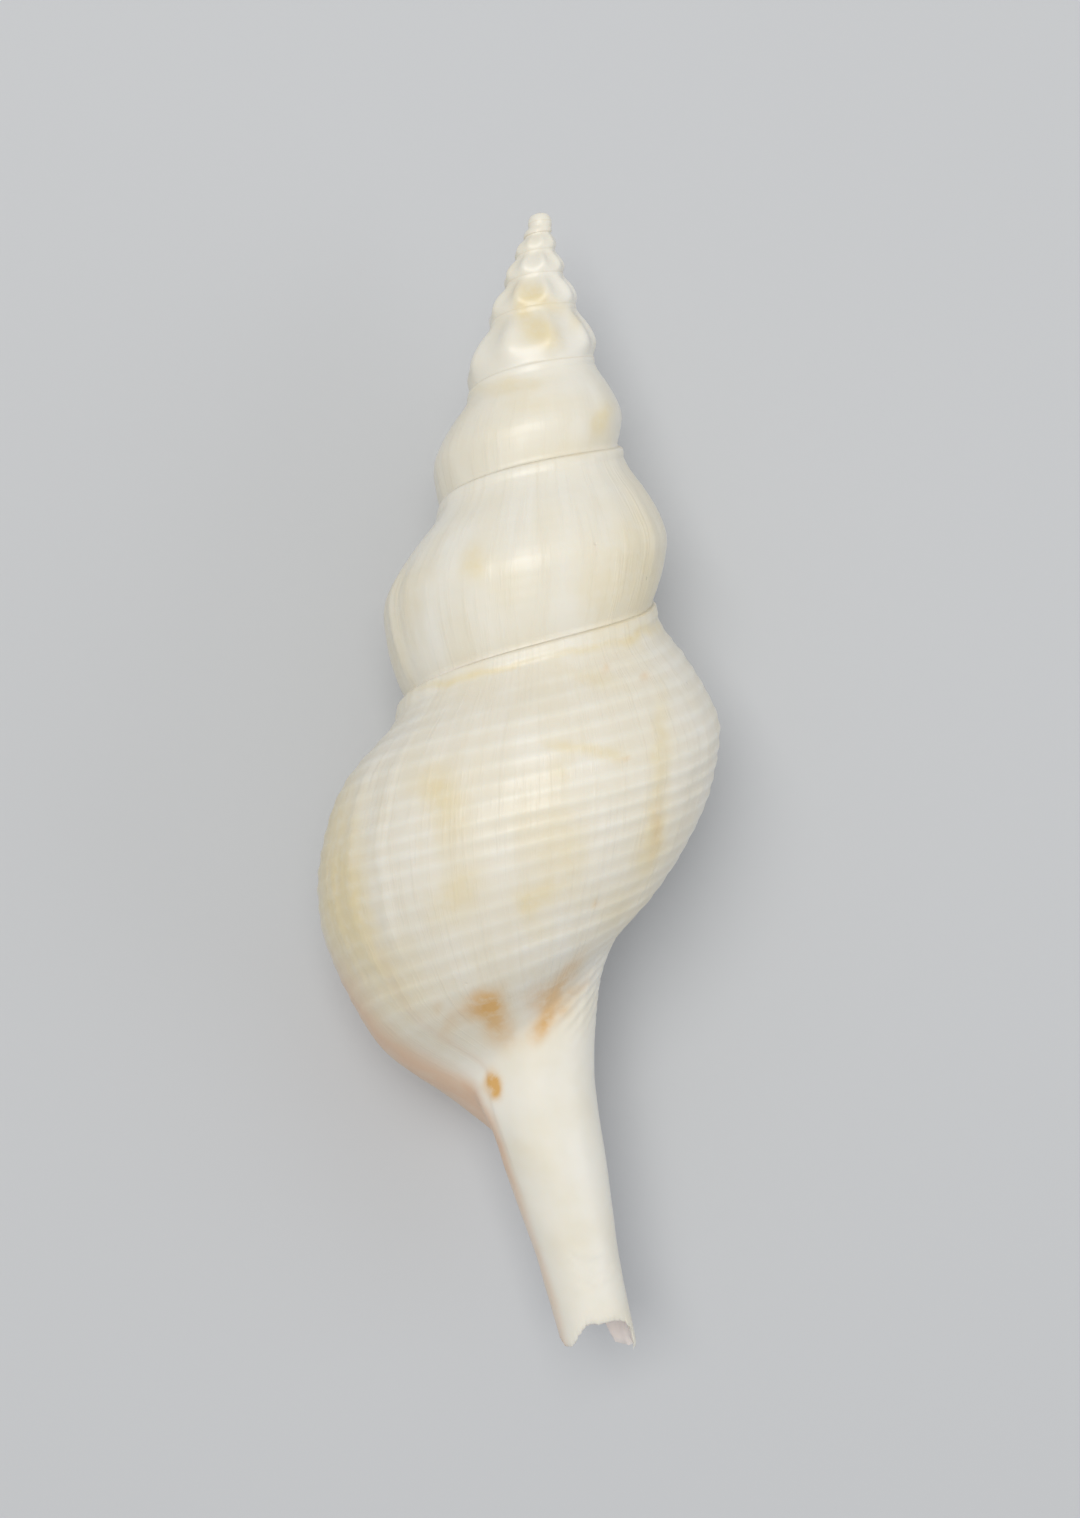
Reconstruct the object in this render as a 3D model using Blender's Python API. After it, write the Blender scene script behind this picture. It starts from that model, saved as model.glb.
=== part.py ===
import math

import bmesh
import bpy
import numpy as np

# A long-canalled sea snail shell lying on its aperture, spire towards +Y, right-handed coil.
# Lengths here are millimetres, "depth" is the distance below the spire tip along the coiling axis,
# and a turn angle counts degrees of growth: 0 is the right side of the last whorl, 90 its back.

shell = {
    "length": 60.0,              # spire tip to broken canal end
    "lastRim": 9.58,             # widest radius of the last whorl on its right side
    "halfTurnGrowth": 1.21,      # each half turn is this much wider than the one before
    "midSwelling": 0.052,        # the whorl above the last is a little fuller than that
    "midPlace": -1.8,            # where that is, and how far it spreads, in half turns
    "midSpread": 1.1,
    "firstAngle": -2530.0,
    "lipAngle": 230.0,           # where the outer lip ends, under the left side
    "axisHeight": 8.7,           # coiling axis above the table; what would lie lower is worn flat
    "axisSide": 0.97,            # coiling axis beside the middle of the shell's width
    "columns": 36,               # columns of faces in a turn
    "lowRows": 15,               # rows of faces from the end of the last whorl's suture to the canal's end
}
# Where the rows of faces lie between one suture and the next.
rowShares = np.array([0, 0.17, 0.36, 0.56, 0.78, 1.0])
ribs = {
    "inTurn": 9,                 # axial ribs in a turn of the spire
    "height": 0.055,             # as a share of the whorl radius
    "twist": 20,                 # degrees
    "fadeAngle": -640.0,         # no ribs after this; they grow to full height over the fade span above
    "fadeSpan": 520.0,
    "startAngle": -2420.0,       # the first whorls are smooth
    "startSpan": 700.0,
}
wall = {
    "lip": 0.6,
    "deep": 1.0,
    "callus": 0.25,              # glaze laid over the whorl inside the aperture
    "pillar": 0.20,              # radius of the columella, as a share of the whorl above
    "thickenSpan": 60.0,         # the wall reaches its deep thickness this many degrees inside the lip
    "firstAngle": -490.0,        # the hollow is modelled two turns deep
    "lastAngle": 290.0,
    "step": 12.4,                # degrees between its sections
    "sectionPoints": 11,         # points down the outer side of a section
    "sectionReach": 1.9,         # depth looked through for a section, in whorl radii
    "sectionSamples": 400,
    "leastGap": 0.02,            # a section ends where the walls are this close
    "steepest": 2.5,             # slope of the outside past which the wall's thickness grows no further
    "thinning": 0.7,             # how the wall thins with the whorl's radius, as a power
    "pillarBlend": 0.6,          # softness where the whorl above runs into the columella
    "closingBlend": 0.4,
    "lipGrowth": 25.0,           # the hollow past the lip keeps the shape the whorl has this far on
    "closingRadius": 3.7,        # the columella past the lip, where it closes the aperture's low end,
    "closingAngle": 248.0,       # from here on, over this many degrees
    "closingSpan": 38.0,
}
canal = {
    "lean": 0.245,               # sideways run for each unit of depth, to the right
    "bendStart": 44.4,           # the canal leaves the coiling axis here
    "bendRun": 4.24,             # and leans fully after this much more depth
    "tipLean": 0.18,             # the spire's tip leans a little to the same side
    "tipRun": 2.6,
    "joinBlend": 0.74,           # softness of the corner where the whorl runs into the canal
    "joinStart": -240.0,         # the canal's wall is laid down from this angle on
    "joinSpan": 60.0,
    "youngAngle": -130.0,        # before this its wall is this much narrower
    "youngSpan": 60.0,
    "youngLoss": 0.1,
    "slitOffset": -0.22,         # the slit's middle lies a little to the left of the canal's
    "slitTop": -0.5,             # the slit is cut from here down, below the canal's middle
    "slitBottom": -6.0,
}
# Local swellings of the base: angle, half width of it, depth, half width of it, height.
pinch = (214.0, 24.0, 47.1, 1.5, -0.46)    # drawn in where the lip runs into the canal
web = (158.0, 24.0, 46.7, 1.5, 0.42)       # the canal's back spreads into the base on the left
mm = 0.001


def smoothCurve(knots, values):
    """A curve through the points that never overshoots them."""
    x = np.array(knots, float)
    y = np.array(values, float)
    step = np.diff(x)
    slope = np.diff(y) / step
    tangent = np.zeros(len(x))
    tangent[0] = slope[0]
    tangent[-1] = slope[-1]
    for i in range(1, len(x) - 1):
        if slope[i - 1] * slope[i] > 0:
            before = 2 * step[i] + step[i - 1]
            after = step[i] + 2 * step[i - 1]
            tangent[i] = (before + after) / (before / slope[i - 1] + after / slope[i])

    def curve(at):
        at = np.clip(np.asarray(at, float), x[0], x[-1])
        i = np.clip(np.searchsorted(x, at, side="right") - 1, 0, len(x) - 2)
        h = step[i]
        t = (at - x[i]) / h
        return (
            y[i] * (1 + 2 * t) * (1 - t) ** 2
            + tangent[i] * h * t * (1 - t) ** 2
            + y[i + 1] * t * t * (3 - 2 * t)
            + tangent[i + 1] * h * t * t * (t - 1)
        )

    return curve


# Suture depth by half turns back from the right side of the last whorl.
sutureCurve = smoothCurve(
    [-16, -14, -12, -10, -8, -6, -5, -4, -3, -2, -1, 0, 1, 2, 4],
    [0.1, 0.5, 1.05, 1.95, 3.2, 4.9, 6.05, 7.65, 9.75, 12.4, 15.8, 20.65, 26.25, 33.0, 52.0],
)
# Height from suture to widest point, and radius at the suture, as shares of the whorl radius.
shoulderCurve = smoothCurve(
    [-15, -9, -6, -3, -2, -1, 0, 1, 2],
    [0.70, 0.70, 0.72, 0.74, 0.72, 0.70, 0.69, 0.815, 0.86],
)
sutureShareCurve = smoothCurve(
    [-15, -9, -7, -5, -3, -1, 0, 1, 2],
    [0.60, 0.62, 0.64, 0.66, 0.655, 0.633, 0.637, 0.622, 0.61],
)
# How the whorl swells from suture (0) to rim (1), on the right side and half a turn later.
upperEarly = smoothCurve(
    [0, 0.1, 0.24, 0.38, 0.52, 0.71, 0.95, 1],
    [0, 0.05, 0.17, 0.41, 0.59, 0.81, 0.99, 1],
)
upperLate = smoothCurve(
    [0, 0.12, 0.22, 0.35, 0.45, 0.65, 0.87, 1],
    [0, 0.07, 0.24, 0.51, 0.68, 0.865, 0.96, 1],
)
# How the base draws in below the rim, both ways as shares of the whorl radius.
baseEarly = smoothCurve(
    [0, 0.2, 0.4, 0.6, 0.8, 1.0, 1.2, 1.4, 1.6, 2.0, 9.0],
    [1, 0.965, 0.905, 0.80, 0.655, 0.47, 0.365, 0.265, 0.13, 0, -2],
)
baseLate = smoothCurve(
    [0, 0.2, 0.4, 0.6, 0.73, 0.84, 0.92, 1.03, 1.12, 1.3, 9.0],
    [1, 0.98, 0.91, 0.805, 0.715, 0.56, 0.40, 0.19, 0.08, -0.05, -2],
)
# How far the lip edge, and every growth line, swings round by depth. The edge lies flat on the table.
lipShift = smoothCurve(
    [0, 34, 36, 38, 40, 42, 44, 46, 48, 50, 54],
    [0, 0, -2.5, -3.5, -3, -0.5, 4, 11, 20, 26, 27],
)
# Outer radius of the canal by depth.
canalCurve = smoothCurve(
    [41.7, 44.2, 47.0, 49.0, 50.6, 53.1, 55.6, 59.0, 62.0],
    [3.02, 3.0, 2.94, 2.82, 2.68, 2.41, 2.15, 2.0, 1.96],
)
# Channel of the canal by depth: how far from the canal's middle, towards which angle, and its radius.
channelOffset = smoothCurve([41.5, 45.0, 48.2, 51.3, 55.5, 60.5], [3.9, 2.5, 1.0, 0.42, 0.16, 0.08])
channelAngle = smoothCurve([41.5, 45.0, 48.2, 51.3, 60.5], [232, 240, 252, 262, 265])
channelRadius = smoothCurve(
    [41.5, 43.0, 45.0, 48.2, 51.3, 55.5, 60.5],
    [0.5, 0.9, 1.25, 1.5, 1.6, 1.56, 1.54],
)
# Half width of the seam along the underside of the canal, by depth.
slitWidth = smoothCurve(
    [46.6, 47.6, 49.0, 52.0, 56.0, 58.7, 59.6, 60.1, 61.0],
    [0.35, 0.65, 0.8, 0.75, 0.70, 0.64, 0.76, 0.93, 1.25],
)


def rimRadius(angle):
    k = angle / 180.0
    swell = 1 + shell["midSwelling"] * np.exp(-(((k - shell["midPlace"]) / shell["midSpread"]) ** 2))
    return shell["lastRim"] * shell["halfTurnGrowth"] ** k * swell


def sutureDepth(angle):
    return sutureCurve(angle / 180.0)


def rimDepth(angle):
    return sutureDepth(angle) + shoulderCurve(angle / 180.0) * rimRadius(angle)


def ease(t):
    """0 below 0 and 1 above 1, with a smooth way between."""
    t = np.clip(t, 0, 1)
    return t * t * (3 - 2 * t)


def softMax(a, b, blend):
    """The greater of the two, with the corner between them rounded."""
    return (a + b + np.sqrt((a - b) ** 2 + blend**2)) / 2


def swelling(depth, angle, place):
    """A smooth local rise at one place of the base."""
    middle, wide, deep, tall, height = place
    return height * np.exp(-(((angle - middle) / wide) ** 2) - ((depth - deep) / tall) ** 2)


def whorlRadius(depth, angle):
    """Outer radius at a depth, for the whorl alone, without ribs or canal."""
    rim = rimRadius(angle)
    top = sutureDepth(angle)
    low = rimDepth(angle)
    late = ease(angle / 180.0)
    h = np.clip((depth - top) / (low - top), 0, 1)
    start = sutureShareCurve(angle / 180.0) * rim
    upper = start + (rim - start) * ((1 - late) * upperEarly(h) + late * upperLate(h))
    q = np.clip((depth - low) / rim, 0, 8)
    lower = rim * ((1 - late) * baseEarly(q) + late * baseLate(q)) + swelling(depth, angle, pinch)
    return np.where(depth < low, upper, lower)


def ribRelief(depth, angle):
    """Axial ribs, strong on the upper whorls and gone on the last three."""
    top = sutureDepth(angle)
    following = sutureDepth(angle + 360)
    h = np.clip((depth - top) / (following - top), 0, 1)
    fade = np.clip((ribs["fadeAngle"] - angle) / ribs["fadeSpan"], 0, 1)
    fade = fade * np.clip((angle - ribs["startAngle"]) / ribs["startSpan"], 0, 1)
    across = np.sin(np.pi * h) ** 1.5
    ridge = np.cos(np.radians(ribs["inTurn"] * angle + ribs["twist"]))
    return ribs["height"] * rimRadius(angle) * fade * across * ridge


def outerRadius(depth, angle):
    """Outer radius at a depth: whorl, canal and ribs together."""
    rim = rimRadius(angle)
    blend = canal["joinBlend"]
    grown = np.clip((angle - canal["youngAngle"]) / canal["youngSpan"], 0, 1)
    tube = canalCurve(depth) * (1 - canal["youngLoss"] * (1 - grown))
    body = whorlRadius(depth, angle)
    q = np.clip((depth - rimDepth(angle)) / rim, 0, 8)
    joined = softMax(body, tube, blend) - (softMax(rim, tube, blend) - rim) * np.exp(-4 * q)
    share = np.where(q > 0, np.clip((angle - canal["joinStart"]) / canal["joinSpan"], 0, 1), 0)
    return body + share * (joined - body) + swelling(depth, angle, web) + ribRelief(depth, angle)


def bend(depth):
    """Sideways run of the shell's middle: the canal leans over, and the tip a little."""
    t = np.clip((depth - canal["bendStart"]) / canal["bendRun"], 0, 1)
    curved = canal["lean"] * canal["bendRun"] / 2 * t * t
    straight = canal["lean"] * np.maximum(depth - canal["bendStart"] - canal["bendRun"], 0)
    return curved + straight + canal["tipLean"] * ease((canal["tipRun"] - depth) / canal["tipRun"])


def fromAxis(side, depth, height):
    """A point given from the coiling axis, in the shell's own frame."""
    return (side + shell["axisSide"], shell["length"] / 2 - depth, height + shell["axisHeight"])


def place(depth, angle, radius):
    a = math.radians(angle)
    return fromAxis(radius * math.cos(a) + float(bend(depth)), depth, radius * math.sin(a))


def newObject(name, points, faces, home):
    mesh = bpy.data.meshes.new(name)
    mesh.from_pydata([tuple(p) for p in np.array(points) * mm], [], faces)
    mesh.validate()
    made = bpy.data.objects.new(name, mesh)
    home.objects.link(made)
    model = bmesh.new()
    model.from_mesh(mesh)
    bmesh.ops.remove_doubles(model, verts=model.verts, dist=1e-7)
    bmesh.ops.triangulate(model, faces=model.faces[:])
    bmesh.ops.recalc_face_normals(model, faces=model.faces)
    model.to_mesh(mesh)
    model.free()
    return made


def buildEnvelope(home):
    """The whole outside as one closed skin: a coiled strip, the canal's end and the face at the lip."""
    turn = shell["columns"]
    step = 360.0 / turn
    columns = int(round((shell["lipAngle"] - shell["firstAngle"]) / step)) + 1
    angles = shell["lipAngle"] - step * np.arange(columns)[::-1]
    spireRows = len(rowShares) - 1
    points = []
    grid = []
    for c, angle in enumerate(angles):
        top = sutureDepth(angle)
        following = sutureDepth(angle + 360)
        depths = list(top + (following - top) * rowShares)
        if c >= columns - turn - 1:
            share = np.linspace(0, 1, shell["lowRows"] + 1)[1:]
            depths += list(following + (shell["length"] - following) * share)
        # the top of a column is the bottom of the one a turn before
        column = [grid[c - turn][spireRows]] if c >= turn else []
        for depth in depths[len(column):]:
            at = angle if depth == top else angle + lipShift(depth)
            column.append(len(points))
            points.append(place(depth, at, outerRadius(depth, at)))
        grid.append(column)
    faces = []
    for c in range(columns - 1):
        left = grid[c]
        right = grid[c + 1]
        for row in range(min(len(left), len(right)) - 1):
            faces.append((left[row], left[row + 1], right[row + 1], right[row]))
    # the spire tip
    rim = [grid[c][0] for c in range(turn + 1)] + grid[0][spireRows - 1 : 0 : -1]
    middle = np.mean([points[i] for i in rim], axis=0)
    points.append((middle[0], shell["length"] / 2, middle[2]))
    for a, b in zip(rim, rim[1:] + rim[:1]):
        if a != b:
            faces.append((a, b, len(points) - 1))
    # the face that the lip ends in, between the last column and the whorl one turn before
    outer = grid[-1]
    inner = grid[columns - turn - 1][spireRows:]
    i = 0
    j = 0
    while i < len(outer) - 1 or j < len(inner) - 1:
        nextOuter = points[outer[i + 1]][1] if i < len(outer) - 1 else -math.inf
        nextInner = points[inner[j + 1]][1] if j < len(inner) - 1 else -math.inf
        if nextOuter > nextInner:
            if outer[i] != inner[j]:
                faces.append((outer[i], outer[i + 1], inner[j]))
            else:
                faces.append((outer[i], outer[i + 1], inner[j + 1]))
                j += 1
            i += 1
        else:
            faces.append((outer[i], inner[j + 1], inner[j]))
            j += 1
    # the canal's end
    ring = [column[-1] for column in grid[columns - turn - 1:]]
    points.append(np.mean([points[i] for i in ring], axis=0))
    for a, b in zip(ring, ring[1:] + ring[:1]):
        faces.append((a, b, len(points) - 1))
    return newObject("shell", points, faces, home)


def hollowSpan(angle):
    """The hollow's section at an angle: depths with the inner and outer radius at each, and its ends."""
    grown = min(angle, shell["lipAngle"] + wall["lipGrowth"])
    top = sutureDepth(angle)
    depth = np.linspace(top, top + wall["sectionReach"] * rimRadius(angle), wall["sectionSamples"])
    near = np.clip((shell["lipAngle"] - angle) / wall["thickenSpan"], 0, 1)
    size = min((rimRadius(angle) / shell["lastRim"]) ** wall["thinning"], 1)
    thick = (wall["lip"] + (wall["deep"] - wall["lip"]) * near) * size
    outside = whorlRadius(depth, grown)
    slope = np.gradient(outside, depth)
    slope = np.clip(slope, -wall["steepest"], wall["steepest"])
    outside = outside - thick * np.sqrt(1 + slope**2)
    pillar = wall["pillar"] * rimRadius(angle - 360)
    inside = softMax(whorlRadius(depth, angle - 360), pillar, wall["pillarBlend"]) + wall["callus"] * size
    # past the lip the columella swells to meet the right wall of the canal
    swollen = wall["closingRadius"] * ease((angle - wall["closingAngle"]) / wall["closingSpan"])
    inside = softMax(inside, swollen, wall["closingBlend"])
    gap = outside - inside
    first = np.argmax(gap)
    while first > 0 and gap[first - 1] > wall["leastGap"]:
        first -= 1
    final = np.argmax(gap)
    while final < len(gap) - 1 and gap[final + 1] > wall["leastGap"]:
        final += 1
    return depth, inside, outside, first, final


def joinRings(points, sides):
    """Faces over rings of points that follow one another, closed at both ends."""
    total = len(points)
    faces = [tuple(range(sides)), tuple(range(total - 1, total - sides - 1, -1))]
    for start in range(0, total - sides, sides):
        for i in range(sides):
            j = (i + 1) % sides
            faces.append((start + i, start + sides + i, start + sides + j, start + j))
    return faces


def buildHollow(home):
    """The room inside the whorls, from beyond the lip back round the columella."""
    count = wall["sectionPoints"]
    points = []
    for angle in np.arange(wall["lastAngle"], wall["firstAngle"], -wall["step"]):
        depth, inside, outside, first, final = hollowSpan(angle)
        share = (1 - np.cos(np.linspace(0, np.pi, count))) / 2
        at = depth[first] + (depth[final] - depth[first]) * share
        for d, r in zip(at, np.interp(at, depth, outside)):
            points.append(place(d, angle, r))
        back = at[-2:0:-1]
        for d, r in zip(back, np.interp(back, depth, inside)):
            points.append(place(d, angle, r))
    return newObject("hollow", points, joinRings(points, 2 * count - 2), home)


def buildChannel(home):
    """The siphonal channel, open at the broken end."""
    sides = 16
    points = []
    for depth in (41.5, 43.2, 45.0, 46.6, 48.2, 50.0, 52.0, 55.0, 58.0, 60.6):
        a = math.radians(float(channelAngle(depth)))
        x = float(bend(depth)) + float(channelOffset(depth)) * math.cos(a)
        z = float(channelOffset(depth)) * math.sin(a)
        r = float(channelRadius(depth))
        for turn in 2 * np.pi * np.arange(sides) / sides:
            points.append(fromAxis(x + r * math.cos(turn), depth, z + r * math.sin(turn)))
    return newObject("channel", points, joinRings(points, sides), home)


def buildSlit(home):
    """The open seam along the underside of the canal."""
    points = []
    for depth in (46.6, 47.6, 49.0, 52.0, 56.0, 58.7, 59.6, 60.1, 61.0):
        x = float(bend(depth)) + canal["slitOffset"]
        half = float(slitWidth(depth))
        points.append(fromAxis(x - half, depth, canal["slitTop"]))
        points.append(fromAxis(x + half, depth, canal["slitTop"]))
        points.append(fromAxis(x + half, depth, canal["slitBottom"]))
        points.append(fromAxis(x - half, depth, canal["slitBottom"]))
    return newObject("slit", points, joinRings(points, 4), home)


def buildPrism(name, outline, low, high, home):
    """An outline of (sideways, depth) points made solid between two heights."""
    points = [fromAxis(x, depth, z) for z in (low, high) for x, depth in outline]
    return newObject(name, points, joinRings(points, len(outline)), home)


# The canal's back wall is broken further up than its sides.
breakOutline = [
    (2.12, 61.0), (2.12, 59.3), (2.5, 58.8), (2.7, 58.55), (3.2, 58.45), (4.2, 58.4), (4.75, 58.7),
    (5.0, 59.3), (5.1, 61.0),
]
# The left prong is worn to a rounded point.
prongOutline = [
    (-1.0, 57.0), (0.7, 57.9), (1.05, 59.2), (1.35, 59.75), (1.6, 59.95), (1.9, 59.75), (2.12, 59.3),
    (2.6, 58.9), (2.62, 61.0), (-1.0, 61.0),
]
# A block under the table's level, wider and longer than the shell.
restOutline = [(-40, -10), (40, -10), (40, 70), (-40, 70)]


def cut(target, cutter):
    modifier = target.modifiers.new(cutter.name, "BOOLEAN")
    modifier.operation = "DIFFERENCE"
    modifier.solver = "EXACT"
    modifier.object = cutter
    cutter.display_type = "WIRE"
    cutter.hide_render = True


def shellMaterial():
    made = bpy.data.materials.new("creamWhiteShell")
    made.use_nodes = True
    surface = made.node_tree.nodes["Principled BSDF"]
    surface.inputs["Base Color"].default_value = (0.78, 0.73, 0.62, 1)
    surface.inputs["Roughness"].default_value = 0.38
    surface.inputs["Metallic"].default_value = 0.0
    made.diffuse_color = (0.78, 0.73, 0.62, 1)
    return made


for old in list(bpy.data.objects):
    bpy.data.objects.remove(old, do_unlink=True)
solids = bpy.data.collections.new("siphonofususLubrica")
cutters = bpy.data.collections.new("shellCutters")
cutters.hide_render = True
bpy.context.scene.collection.children.link(solids)
bpy.context.scene.collection.children.link(cutters)

body = buildEnvelope(solids)
cut(body, buildHollow(cutters))
cut(body, buildChannel(cutters))
cut(body, buildSlit(cutters))
cut(body, buildPrism("breakCutter", breakOutline, -0.6, 6.0, cutters))
cut(body, buildPrism("prongCutter", prongOutline, -6.0, 6.5, cutters))
cut(body, buildPrism("restCutter", restOutline, -20.0, -shell["axisHeight"], cutters))
body.data.materials.append(shellMaterial())
body.data.shade_smooth()
body.data.set_sharp_from_angle(angle=math.radians(40))
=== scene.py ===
import math

import bmesh
import bpy
import numpy as np
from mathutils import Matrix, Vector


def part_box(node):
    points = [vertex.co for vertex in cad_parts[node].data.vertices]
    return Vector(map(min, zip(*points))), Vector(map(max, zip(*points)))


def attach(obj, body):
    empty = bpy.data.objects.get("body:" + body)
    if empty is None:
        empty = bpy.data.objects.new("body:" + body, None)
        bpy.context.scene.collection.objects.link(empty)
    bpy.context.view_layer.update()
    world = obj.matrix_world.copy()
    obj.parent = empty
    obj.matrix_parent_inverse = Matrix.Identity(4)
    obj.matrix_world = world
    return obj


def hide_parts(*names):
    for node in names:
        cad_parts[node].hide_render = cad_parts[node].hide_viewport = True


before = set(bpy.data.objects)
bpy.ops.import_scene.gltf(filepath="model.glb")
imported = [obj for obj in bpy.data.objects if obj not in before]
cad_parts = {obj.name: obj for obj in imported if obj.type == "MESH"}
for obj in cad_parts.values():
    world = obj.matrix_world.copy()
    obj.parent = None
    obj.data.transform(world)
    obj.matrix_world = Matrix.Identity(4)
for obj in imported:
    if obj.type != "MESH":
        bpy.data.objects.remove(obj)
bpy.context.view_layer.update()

# A white sea snail shell with a long canal, lying on its aperture with the spire towards +Y.
# Its skin is one coiled surface, cut by the room inside, the canal's channel and slit, and the break.
# Lengths are millimetres; depth runs down the coiling axis from the tip. Turn angles are degrees of
# growth: 0 is the right side of the last whorl, 90 its back and 180 its left side.

shell = {
    "length": 60.0,              # spire tip to broken canal end
    "lastRim": 9.58,             # widest radius of the last whorl on its right side
    "halfTurnGrowth": 1.21,      # each half turn is this much wider than the one before
    "midSwelling": 0.052,        # the whorl above the last is a little fuller than that
    "midPlace": -1.8,            # where that is, and how far it spreads, in half turns
    "midSpread": 1.1,
    "blurStep": 0.04,            # the profile is averaged in steps of this share of the whorl radius
    "firstAngle": -2890.0,
    "lipAngle": 230.0,           # where the outer lip ends, under the left side
    "axisHeight": 8.7,           # coiling axis above the table
    "axisSide": 0.97,            # coiling axis beside the middle of the width
    "columns": 200,              # columns of faces in a turn
    "whorlRows": [110, 60, 40, 27, 18, 12, 9, 7, 6],   # rows from suture to suture, last whorl first
    "lowRows": 120,              # rows from there to the end of the canal
}
cadLow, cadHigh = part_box("shell")
unit = (cadHigh.y - cadLow.y) / shell["length"]     # metres in one of this script's millimetres
growthRate = math.log(shell["halfTurnGrowth"]) / math.pi


def smoothCurve(knots, values):
    # a curve through the points that never overshoots them
    x = np.array(knots, float)
    y = np.array(values, float)
    step = np.diff(x)
    slope = np.diff(y) / step
    tangent = np.zeros(len(x))
    tangent[0] = slope[0]
    tangent[-1] = slope[-1]
    for i in range(1, len(x) - 1):
        if slope[i - 1] * slope[i] > 0:
            before = 2 * step[i] + step[i - 1]
            after = step[i] + 2 * step[i - 1]
            tangent[i] = (before + after) / (before / slope[i - 1] + after / slope[i])

    def curve(at):
        at = np.clip(np.asarray(at, float), x[0], x[-1])
        i = np.clip(np.searchsorted(x, at, side="right") - 1, 0, len(x) - 2)
        h = step[i]
        t = (at - x[i]) / h
        return (
            y[i] * (1 + 2 * t) * (1 - t) ** 2
            + tangent[i] * h * t * (1 - t) ** 2
            + y[i + 1] * t * t * (3 - 2 * t)
            + tangent[i + 1] * h * t * t * (t - 1)
        )

    return curve


# Suture depth by half turns back from the right side of the last whorl.
sutureCurve = smoothCurve(
    [-16, -14, -12, -10, -8, -6, -5, -4, -3, -2, -1, 0, 1, 2, 4],
    [0.1, 0.5, 1.05, 1.95, 3.2, 4.9, 6.05, 7.65, 9.75, 12.4, 15.8, 20.65, 26.25, 33.0, 52.0],
)
# Height from suture to widest point, and radius at the suture, as shares of the whorl radius.
shoulderCurve = smoothCurve(
    [-15, -9, -6, -3, -2, -1, 0, 1, 2],
    [0.70, 0.70, 0.72, 0.74, 0.72, 0.70, 0.69, 0.815, 0.86],
)
sutureShareCurve = smoothCurve(
    [-15, -9, -7, -5, -3, -1, 0, 1, 2],
    [0.60, 0.62, 0.64, 0.66, 0.655, 0.633, 0.637, 0.622, 0.61],
)
# How the whorl swells from suture (0) to rim (1), on the right side and half a turn later.
upperEarly = smoothCurve(
    [0, 0.1, 0.24, 0.38, 0.52, 0.71, 0.95, 1],
    [0, 0.05, 0.17, 0.41, 0.59, 0.81, 0.99, 1],
)
upperLate = smoothCurve(
    [0, 0.12, 0.22, 0.35, 0.45, 0.65, 0.87, 1],
    [0, 0.07, 0.24, 0.51, 0.68, 0.865, 0.96, 1],
)
# How the base draws in below the rim, both ways as shares of the whorl radius.
baseEarly = smoothCurve(
    [0, 0.2, 0.4, 0.6, 0.8, 1.0, 1.2, 1.4, 1.6, 2.0, 9.0],
    [1, 0.965, 0.905, 0.80, 0.655, 0.47, 0.365, 0.265, 0.13, 0, -2],
)
baseLate = smoothCurve(
    [0, 0.2, 0.4, 0.6, 0.73, 0.84, 0.92, 1.03, 1.12, 1.3, 9.0],
    [1, 0.98, 0.91, 0.805, 0.715, 0.56, 0.40, 0.19, 0.08, -0.05, -2],
)
# How far the lip edge, and every growth line, swings round by depth. The edge lies flat on the table.
lipShift = smoothCurve(
    [0, 34, 36, 38, 40, 42, 44, 46, 48, 50, 54],
    [0, 0, -2.5, -3.5, -3, -0.5, 4, 11, 20, 26, 27],
)
# Outer radius of the canal by depth.
canalCurve = smoothCurve(
    [41.7, 44.2, 47.0, 49.0, 50.6, 53.1, 55.6, 59.0, 62.0],
    [3.02, 3.0, 2.94, 2.82, 2.68, 2.41, 2.15, 2.0, 1.96],
)
# Channel of the canal by depth: how far from the canal's middle, towards which angle, and its radius.
channelOffset = smoothCurve([41.5, 45, 48.2, 51.3, 55.5, 60.5], [3.9, 2.5, 1.0, 0.42, 0.16, 0.08])
channelAngle = smoothCurve([41.5, 45, 48.2, 51.3, 60.5], [232, 240, 252, 262, 265])
channelRadius = smoothCurve([41.5, 43, 45, 48.2, 51.3, 55.5, 60.5], [0.5, 0.9, 1.25, 1.5, 1.6, 1.56, 1.54])
canal = {
    "youngLoss": 0.1,            # the tube is thinner by this share up to the young angle, and full
    "youngAngle": -130.0,        # after the young span
    "youngSpan": 60.0,
    "joinAngle": -240.0,         # from here on, over this many degrees, it joins the whorl
    "joinSpan": 60.0,
    "joinBlend": 0.74,
    "bendStart": 44.4,           # depth where the canal starts to run sideways
    "bendSpan": 4.24,
    "bendSlope": 0.245,          # how far it runs for each unit of depth after that
    "tipLean": 0.18,             # the spire tip leans a little, over its first depth
    "tipRun": 2.6,
    "channelStart": 41.5,
    "seamStart": 46.6,
    "seamSide": -0.22,           # the seam's middle beside the canal's middle
    "cutEnd": 61.0,              # cutters run out past the broken end
}
# A swelling of the whorl: turn angle and how far it spreads, depth and how far it spreads, height.
pinch = (214, 24.0, 47.1, 1.5, -0.46)    # drawn in where the lip runs into the canal
web = (158, 24.0, 46.7, 1.5, 0.42)       # the back of the canal spreads into the base on the left


def rimRadius(angle):
    k = angle / 180.0
    swell = 1 + shell["midSwelling"] * np.exp(-(((k - shell["midPlace"]) / shell["midSpread"]) ** 2))
    return shell["lastRim"] * shell["halfTurnGrowth"] ** k * swell


def sutureDepth(angle):
    return sutureCurve(angle / 180.0)


def rimDepth(angle):
    return sutureDepth(angle) + shoulderCurve(angle / 180.0) * rimRadius(angle)


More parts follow.
